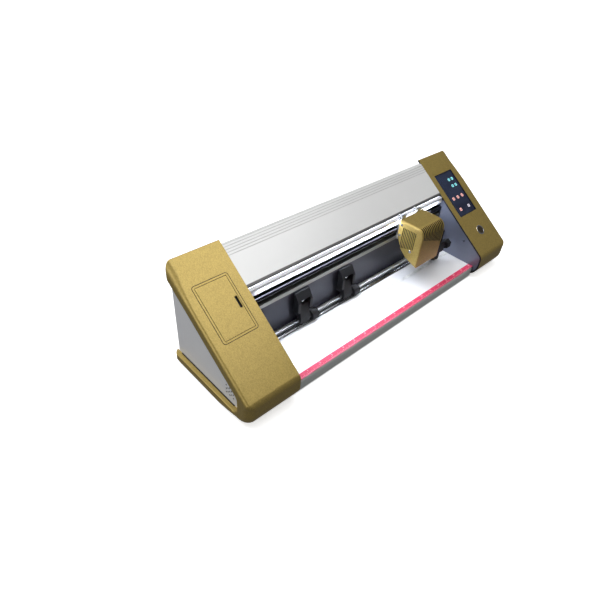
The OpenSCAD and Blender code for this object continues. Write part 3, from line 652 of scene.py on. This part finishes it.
def end_cap():
    """Hollow cap of the +X side: solid body with rounded outer edges, then its openings."""
    outline = cap_rings()
    stations = [[(INNER_X, y, z) for y, z, *_ in outline]]
    for k in range(ROUND_STEPS + 1):
        t = math.pi / 2 * k / ROUND_STEPS
        across, away = 1 - math.cos(t), 1 - math.sin(t)
        stations.append([(HALF_W - r * away, y + (ty - y) * across, z + (tz - z) * across)
                         for y, z, ty, tz, r in outline])
    bm = lofted(stations)
    hollow = bar(cap_outline(CAP_WALL, 1.0), INNER_X - 1, PANEL_X)
    under = block((INNER_X - 1, NOSE_Y + NOSE_LOW_R + 6, BASE_Z - 1),
                  (PANEL_X, BACK_Y + 1, BASE_Z + CAP_WALL + 1))
    for tool in (hollow, under):
        for f in tool.faces:
            f.material_index = 1
    bm = cut(bm, hollow, under, bar(band_window(), PANEL_X - 1, HALF_W + 1))
    last_y = BACK_Y - CAP_BACK_R - 1
    rim = [e for e in bm.edges
           if all(abs(v.co.x - HALF_W) < 1e-3 for v in e.verts) and e.calc_face_angle(0) > 1.0
           and abs(e.verts[0].co.y + e.verts[1].co.y) / 2 < last_y]
    round_edges(bm, rim, 1.6, 3)
    for f in bm.faces:
        if abs(f.calc_center_median().x - INNER_X) < 0.05:
            f.material_index = 1
    return bm


def storage_opening(bm):
    """Cuts the hole for the storage box."""
    return cut(bm, plate(BOX_W + 0.6, BOX_L + 0.6, BOX_R, -20, 10, on_slope(BOX_X, BOX_S)))


def panel_openings(bm):
    """Cuts the hole for the screen and the seat of the badge."""
    screen = plate(SCREEN_W, SCREEN_L, 1.5, -20, 10, on_slope(SCREEN_X, SCREEN_S))
    seat = on_slope(BADGE_X, BADGE_S)
    return cut(bm, screen, rod(seat @ -UP, seat.to_3x3() @ UP, BADGE_HOLE_R, 6, 48))


piece("left_cap_shell", storage_opening(mirrored(end_cap())), [gold, black_inside_and_shade], "root",
      stands_for=("left_end_cap",))
piece("right_cap_shell", panel_openings(end_cap()), [gold, black_inside_and_shade], "root",
      stands_for=("right_end_cap",))

# ---------- body panels ----------

AIR_HOLES, AIR_HOLE_Y, AIR_HOLE_Z = 5, -48.3, 28.2
AIR_PITCH_Y, AIR_PITCH_Z = 4.0, 3.6


def sealing(name, bm):
    """Fixed black piece: rubber seals, and black sheets that are painted shade."""
    piece(name, bm, black_seal_and_shade, "root")


def side_block(side, x0, x1, low, high):
    """Box on one side of the machine, x0 to x1 outside the panel, low and high as (y, z)."""
    near, far = sorted((side * (PANEL_X + x0), side * (PANEL_X + x1)))
    return block((near, *low), (far, *high))


def air_hole_rims(side):
    """Black discs standing on the panel at every other air hole."""
    rims = []
    for i in range(AIR_HOLES):
        for j in range(i % 2, AIR_HOLES, 2):
            at = (side * (PANEL_X + 0.01), AIR_HOLE_Y + AIR_PITCH_Y * i, AIR_HOLE_Z + AIR_PITCH_Z * j)
            rims.append(softened(rod(at, (side, 0, 0), 1.15, 0.22, 20), 0.06, 1))
    return together(*rims)


for node in ("left_side_panel", "right_side_panel"):
    edge_softened(node, 0.3)
for name, side in (("left", -1), ("right", 1)):
    rail_z = BASE_Z + RAIL_H
    # black strip where the panel meets the rail's ledge: painted shade in the corner
    seal = side_block(side, 0.02, 1.5, (-51.0, rail_z + 0.02), (79.0, rail_z + 0.9))
    # black sheet behind the air holes: painted shade inside the panel
    sealing(f"{name}_air_hole_shade_sheet", side_block(side, -2.5, -2.1, (-54.0, 24.0), (-28.0, 47.0)))
    sealing(f"{name}_air_hole_rims", air_hole_rims(side))
    sealing(f"{name}_panel_corner_shade", softened(seal, 0.25, 2))
for node in ("left_frame_plate", "right_frame_plate"):
    edge_softened(node, 0.4)
edge_softened("front_edge_rail", 0.3, angle=50)
edge_softened("platen", 0.25)
edge_softened("rear_platen", 0.3, angle=50)
edge_softened("cutting_strip", 0.1)
edge_softened("top_cover", 0.25, angle=60)


def cover_seal():
    """Dark lip under the front edge of the cover."""
    y = COVER_EDGE_Y
    z = slope_z(y)
    c, s = math.cos(SLOPE), math.sin(SLOPE)
    outline = [(y - 0.7, z - 0.4), (y + 2.4 * s - 0.9, z - 2.4 * c - 0.7), (y + 2.6, z - 3.2),
               (y + 3.2, z + 3.2 * math.tan(SLOPE) - 3.1), (y + 0.1, z - 0.1)]
    return softened(bar(outline, -INNER_X + 0.4, INNER_X - 0.4), 0.3, 2, 30)


sealing("cover_edge_seal", cover_seal())

# ---------- ruler ----------

TICKS, TICK_W = 147, 0.34  # ticks on each side of the middle
INCHES = 9


def ruler_ticks():
    """Inch ruler: a tick every sixteenth, longer at the eighths, quarters, halves and inches."""
    y, z = RULER_Y + 0.5, TOP_Z + RULER_T - 0.02
    ticks = []
    for i in range(-TICKS, TICKS + 1):
        x = i * INCH / 16
        if i % 16 == 0:
            length = 4.6
        elif i % 8 == 0:
            length = 3.8
        else:
            length = 3.0 if i % 4 == 0 else (2.2 if i % 2 == 0 else 1.5)
        ticks.append(block((x - TICK_W / 2, y, z), (x + TICK_W / 2, y + length, z + 0.05)))
    return together(*ticks)


def ruler_numbers():
    """Numerals beside each inch tick, from the left."""
    digits = []
    for count, i in enumerate(range(-INCHES, INCHES + 1)):
        words = bpy.data.curves.new("number", "FONT")
        words.body, words.size, words.extrude, words.align_x = str(count), 5.0, 0.03, "CENTER"
        ob = bpy.data.objects.new("number", words)
        bpy.context.scene.collection.objects.link(ob)
        graph = bpy.context.evaluated_depsgraph_get()
        mesh = bpy.data.meshes.new_from_object(ob.evaluated_get(graph))
        bpy.data.objects.remove(ob)
        bpy.data.curves.remove(words)
        bm = bmesh.new()
        bm.from_mesh(mesh)
        bpy.data.meshes.remove(mesh)
        bmesh.ops.remove_doubles(bm, verts=bm.verts, dist=0.001)
        at = (i * INCH + 3.2, RULER_Y + 5.4, TOP_Z + RULER_T + 0.01)
        bmesh.ops.translate(bm, vec=at, verts=bm.verts)
        digits.append(bm)
    return together(*digits)


piece("ruler_tick_marks", ruler_ticks(), tick_white, "root")
piece("ruler_numerals", ruler_numbers(), tick_white, "root")

# ---------- storage and screen ----------

def storage_frame():
    """Storage box: gold rim, black moulding inside; the black walls of the gap round the door are painted
    shade.
    """
    bm = softened(of_node("storage_box"), 0.35, 2, 60)
    from_slope = on_slope(BOX_X, BOX_S, -0.5).inverted()
    for f in bm.faces:
        if (from_slope @ f.calc_center_median()).z < 0:
            f.material_index = 1
    return bm


def rim_line():
    """Black ring in the gap between the storage frame and the cap: painted shade of the gap."""
    place = on_slope(BOX_X, BOX_S)
    outer = plate(BOX_W + 1.3, BOX_L + 1.3, BOX_R + 0.4, -0.6, 0.12, place)
    inner = plate(BOX_W - 0.5, BOX_L - 0.5, BOX_R - 0.4, -2, 2, place)
    return softened(cut(outer, inner), 0.06, 1)


piece("storage_box_finished", storage_frame(), [gold, black_inside_and_shade], "root",
      stands_for=("storage_box",))
sealing("storage_rim_gap_shade", rim_line())
edge_softened("storage_door", 0.4, 2, 60)
edge_softened("badge", 0.35, 3, 50)
badge_disc = plate(15.0, 15.0, 7.45, 0, 0.5, on_slope(BADGE_X, BADGE_S, 0.21), 8)
piece("badge_face", badge_disc, badge_metal, "root")


def icon_tile(x, s, size):
    """Raised key area of the touch panel, with its symbol."""
    place = on_slope(SCREEN_X + x, SCREEN_S + s, -1.38)
    return softened(plate(size, size, size * 0.28, 0, 0.14, place, 5), 0.05, 1, 50)


TURNS = {"up": 0, "left": math.pi / 2, "down": math.pi, "right": -math.pi / 2}
MARK_T = 0.08


def symbol(kind, x, s, size):
    """Arrow, ring or bars on a key."""
    place = on_slope(SCREEN_X + x, SCREEN_S + s, -1.22)
    h = size * 0.30
    if kind == "bars":
        return together(*[plate(h * 1.7, h * 0.36, 0.1, 0, MARK_T,
                                place @ Matrix.Translation((0, k * h * 0.66, 0)), 2) for k in (-1, 0, 1)])
    if kind == "ring":
        out = place.to_3x3() @ UP
        return cut(rod(place.translation, out, h * 0.9, MARK_T, 24), rod(place @ -UP, out, h * 0.5, 3, 24))
    bm = prism([(-h, -h * 0.7, 0), (h, -h * 0.7, 0), (0, h, 0)], (0, 0, MARK_T))
    bmesh.ops.transform(bm, matrix=place @ Matrix.Rotation(TURNS[kind], 4, "Z"), verts=bm.verts)
    return bm


# colour, finish, size, and each key's place on the screen with its symbol
KEYS = [
    ("cyan", icon_cyan, 5.8,
     [(6.5, 29.5, "up"), (17.0, 29.5, "right"), (6.5, 15.5, "left"), (17.0, 15.5, "down")]),
    ("red", icon_red, 6.4,
     [(-13.5, -9.0, "ring"), (1.0, -9.0, "bars"), (15.5, -9.0, "ring"), (-12.0, -33.5, "left")]),
    ("white", icon_white, 6.0, [(15.5, -33.5, "bars")]),
]
for name, finish, size, places in KEYS:
    tiles = together(*[icon_tile(x, s, size) for x, s, _ in places])
    piece(f"screen_keys_{name}", tiles, finish, "root")
symbols = [symbol(kind, x, s, size) for _, _, size, places in KEYS for x, s, kind in places]
piece("screen_symbols", together(*symbols), icon_dark, "root")


def screen_bezel():
    """Thin frame between the glass and the cap, sloping down to the glass."""
    place = on_slope(SCREEN_X, SCREEN_S)
    frame_bm = plate(SCREEN_W - 0.1, SCREEN_L - 0.1, 1.4, -1.42, -0.15, place)
    sight = plate(SCREEN_W - 2.6, SCREEN_L - 2.6, 1.0, -3, 3, place)
    return softened(cut(frame_bm, sight), 0.25, 2, 50)


sealing("screen_bezel", screen_bezel())

# ---------- carriage ----------

COVER_FRONT_Y, COVER_BACK_Y = -37.5, 13.3
COVER_LOW_Z, COVER_TOP_Z, COVER_R = 56.5, 132.0, 16.0
COVER_WALL, COVER_BOSS = 2.0, 1.3
COVER_X0, COVER_X1 = CARRIAGE_X, CARRIAGE_X + CARRIAGE_W
SIDE_EDGE_R, LOW_EDGE_R = 3.2, 0.8
LOUVRES, LOUVRE_MARGIN, LOUVRE_LOW_Z, LOUVRE_STEP = 13, 4.0, 112.0, 1.7
SIDE_LOUVRES, SIDE_Y0, SIDE_RUN = 9, -23.5, 29.5
SIDE_LOW_Z, SIDE_HIGH_Z = 87.0, 121.5


def cover_outline(t=0.0):
    """Side outline of the carriage cover, t inside its surface."""
    past = 2.0 if t else 0.0
    return ([(COVER_BACK_Y + past, COVER_TOP_Z - t)]
            + arc(COVER_FRONT_Y + COVER_R, COVER_TOP_Z - COVER_R, COVER_R - t, 90, 180, 18)
            + [(COVER_FRONT_Y + t, COVER_LOW_Z + t * 1.7), (-12, 65.6 + t * 1.7), (2.5, 78.5 + t * 1.7),
               (COVER_BACK_Y + past, 100 + t * 2.5)])


def cover_body():
    """Solid cover, its two long edges well rounded and the lower ones a little."""
    bm = bar(cover_outline(), COVER_X0, COVER_X1)
    weight = bm.edges.layers.float.new("bevel_weight_edge")
    for e in bm.edges:
        a, b = (v.co for v in e.verts)
        mid = (a + b) / 2
        if abs(a.x - b.x) < 1e-4 and mid.y < COVER_BACK_Y - 0.1:
            upper = mid.z > 100 or mid.y < COVER_FRONT_Y + 1
            e[weight] = (SIDE_EDGE_R if upper else LOW_EDGE_R) / SIDE_EDGE_R
    ob = temporary(bm)
    m = ob.modifiers.new("rounding", "BEVEL")
    m.limit_method, m.width, m.segments = "WEIGHT", SIDE_EDGE_R, 6
    m.use_clamp_overlap = False
    bm = settled(ob)
    bmesh.ops.recalc_face_normals(bm, faces=bm.faces)
    return bm


def louvre_cutters():
    """Slots in the front, whose lower ends climb to the left, and in the left side."""
    slots = []
    pitch = (CARRIAGE_W - 2 * LOUVRE_MARGIN) / LOUVRES
    for i in range(LOUVRES):
        x = COVER_X0 + LOUVRE_MARGIN + pitch * (i + 0.25)
        low = (x, COVER_FRONT_Y - 3, LOUVRE_LOW_Z - LOUVRE_STEP * i)
        high = (x + pitch * 0.5, COVER_FRONT_Y + 13.5, COVER_TOP_Z - 0.8)
        slots.append(softened(block(low, high), 0.8, 2, 40))
    pitch = SIDE_RUN / SIDE_LOUVRES
    for i in range(SIDE_LOUVRES):
        y = SIDE_Y0 + pitch * i
        low = (COVER_X0 - 3, y, SIDE_LOW_Z - 0.95 * i)
        high = (COVER_X0 + COVER_WALL + 1, y + pitch * 0.5, SIDE_HIGH_Z - 0.1 * i)
        slots.append(softened(block(low, high), 0.6, 2, 40))
    return together(*slots)


def carriage_cover():
    """Louvred cover, gold outside, black moulding inside; on the slot walls the black is painted shade."""
    hollow = bar(cover_outline(COVER_WALL), COVER_X0 + COVER_WALL, COVER_X1 - COVER_WALL)
    louvres = louvre_cutters()
    for tool in (hollow, louvres):
        for f in tool.faces:
            f.material_index = 1
    return cut(cover_body(), hollow, louvres)


def cover_liner():
    """Black sheet behind the louvres: painted shade inside the cover."""
    t = COVER_WALL + 0.3
    outer = bar(cover_outline(t), COVER_X0 + t, COVER_X1 - t)
    inner = bar(cover_outline(t + 1), COVER_X0 + t + 1, COVER_X1 - t - 1)
    behind = block((COVER_X0 - 1, COVER_BACK_Y - 1, 50), (COVER_X1 + 1, 30, 140))
    return cut(outer, inner, behind)


def side_screw(y, z):
    """Cross-head screw in a small boss on the side of the cover."""
    x, half, arm = COVER_X0 - COVER_BOSS, 0.32, 1.9
    head = softened(rod((x, y, z), (1, 0, 0), 2.9, COVER_BOSS + 0.5, 28), 0.5, 3)
    return cut(head, block((x - 0.5, y - arm, z - half), (x + 0.55, y + arm, z + half)),
               block((x - 0.5, y - half, z - arm), (x + 0.55, y + half, z + arm)))


piece("carriage_cover_shell", carriage_cover(), [gold, black_inside_and_shade], "carriage",
      stands_for=("carriage_cover",))
piece("carriage_louvre_shade", cover_liner(), black_seal_and_shade, "carriage")
piece("cover_side_screw", side_screw(-19.0, 82.6), turned_metal, "carriage")
for node, width in (("carriage_chassis", 0.4), ("tool_slide", 0.6), ("blade_holder", 0.5),
                    ("clamp_knob", 0.5), ("lift_solenoid", 0.4)):
    edge_softened(node, width)

# ---------- pinch rollers ----------

for side in ("left", "right"):
    edge_softened(f"{side}_pinch_bracket", 0.8, 3, 30)
    edge_softened(f"{side}_pinch_arm", 0.6, 3, 30)

# ---------- power and signals ----------

for node in ("power_inlet", "power_switch", "usb_port", "power_supply"):
    edge_softened(node, 0.3)

# ---------- floor, light and camera ----------

def floor_paper():
    """Pale paper that stays white right across."""
    f = Finish("floor_paper", (0.94, 0.94, 0.94), rough=0.7).light((1, 1, 1), 0.62)
    f.paint(f.mix(f.noise(40, 3), (0.93, 0.93, 0.93), (0.95, 0.95, 0.95)))
    return f.m


def staged(name, bm, finish):
    """Floor or backdrop. The machine doesn't reflect it or take light from it."""
    mesh = bpy.data.meshes.new(name)
    bm.to_mesh(mesh)
    bm.free()
    mesh.materials.append(finish)
    ob = bpy.data.objects.new(name, mesh)
    bpy.context.scene.collection.objects.link(ob)
    ob.visible_diffuse = ob.visible_glossy = False
    return ob


ground = bmesh.new()
bmesh.ops.create_grid(ground, x_segments=1, y_segments=1, size=15.0)
staged("floor", ground, floor_paper())
dome = bmesh.new()
bmesh.ops.create_uvsphere(dome, u_segments=48, v_segments=24, radius=14.0)
bmesh.ops.reverse_faces(dome, faces=dome.faces)
backdrop = staged("backdrop", dome, glowing("backdrop_paper", (0.9, 0.9, 0.9), 1.1, 400))
backdrop.visible_shadow = False


def softbox(name, at, towards, size, power, colour=(1, 1, 1)):
    """Flat rectangular lamp, in metres and watts."""
    lamp = bpy.data.lights.new(name, "AREA")
    lamp.shape, lamp.size, lamp.size_y = "RECTANGLE", size[0], size[1]
    lamp.energy, lamp.color = power, colour
    ob = bpy.data.objects.new(name, lamp)
    ob.location = at
    ob.rotation_euler = (Vector(towards) - Vector(at)).to_track_quat("-Z", "Y").to_euler()
    bpy.context.scene.collection.objects.link(ob)
    return ob


softbox("overhead", (0.26, -0.26, 1.25), (-0.1, 0.0, 0.1), (1.1, 0.9), 7)
softbox("left_fill", (-1.5, -0.2, 0.9), (0, 0, 0.1), (0.9, 0.9), 4.5)
softbox("back_light", (-0.3, 1.3, 0.8), (0, 0, 0.15), (1.6, 0.5), 6)
# light of the LED bar, just in front of the flange
led_light = softbox("led_light", (0.0, 0.017, 0.127), (0.0, -0.03, 0.03), (0.44, 0.004), 0.5,
                    (0.80, 0.86, 1.0))
led_light.visible_camera = False

sky = bpy.data.lights.new("sky", "SUN")
sky.energy, sky.angle = 1.3, math.radians(40)
sky_ob = bpy.data.objects.new("sky", sky)
sky_ob.rotation_euler = Vector((-0.25, 0.35, 1.0)).to_track_quat("Z", "Y").to_euler()
bpy.context.scene.collection.objects.link(sky_ob)

world = bpy.data.worlds.new("studio")
world.use_nodes = True
background = world.node_tree.nodes["Background"]
background.inputs["Color"].default_value = (1, 1, 1, 1)
background.inputs["Strength"].default_value = 0.14
bpy.context.scene.world = world
bpy.context.scene.view_settings.view_transform = "Standard"

camera = bpy.data.cameras.new("camera")
camera.lens, camera.sensor_width = 29.816, 36.0
camera.clip_start, camera.clip_end = 0.01, 20.0
view = bpy.data.objects.new("camera", camera)
# right, up and back of the view, as columns
turn = Matrix(((0.7320603, -0.6782951, 0.0632726),
               (0.3952525, 0.4985499, 0.7715073),
               (-0.5548542, -0.5397812, 0.6330664))).transposed()
view.matrix_world = Matrix.Translation((-0.571238, -0.405752, 0.562675)) @ turn.to_4x4()
bpy.context.scene.collection.objects.link(view)
bpy.context.scene.camera = view
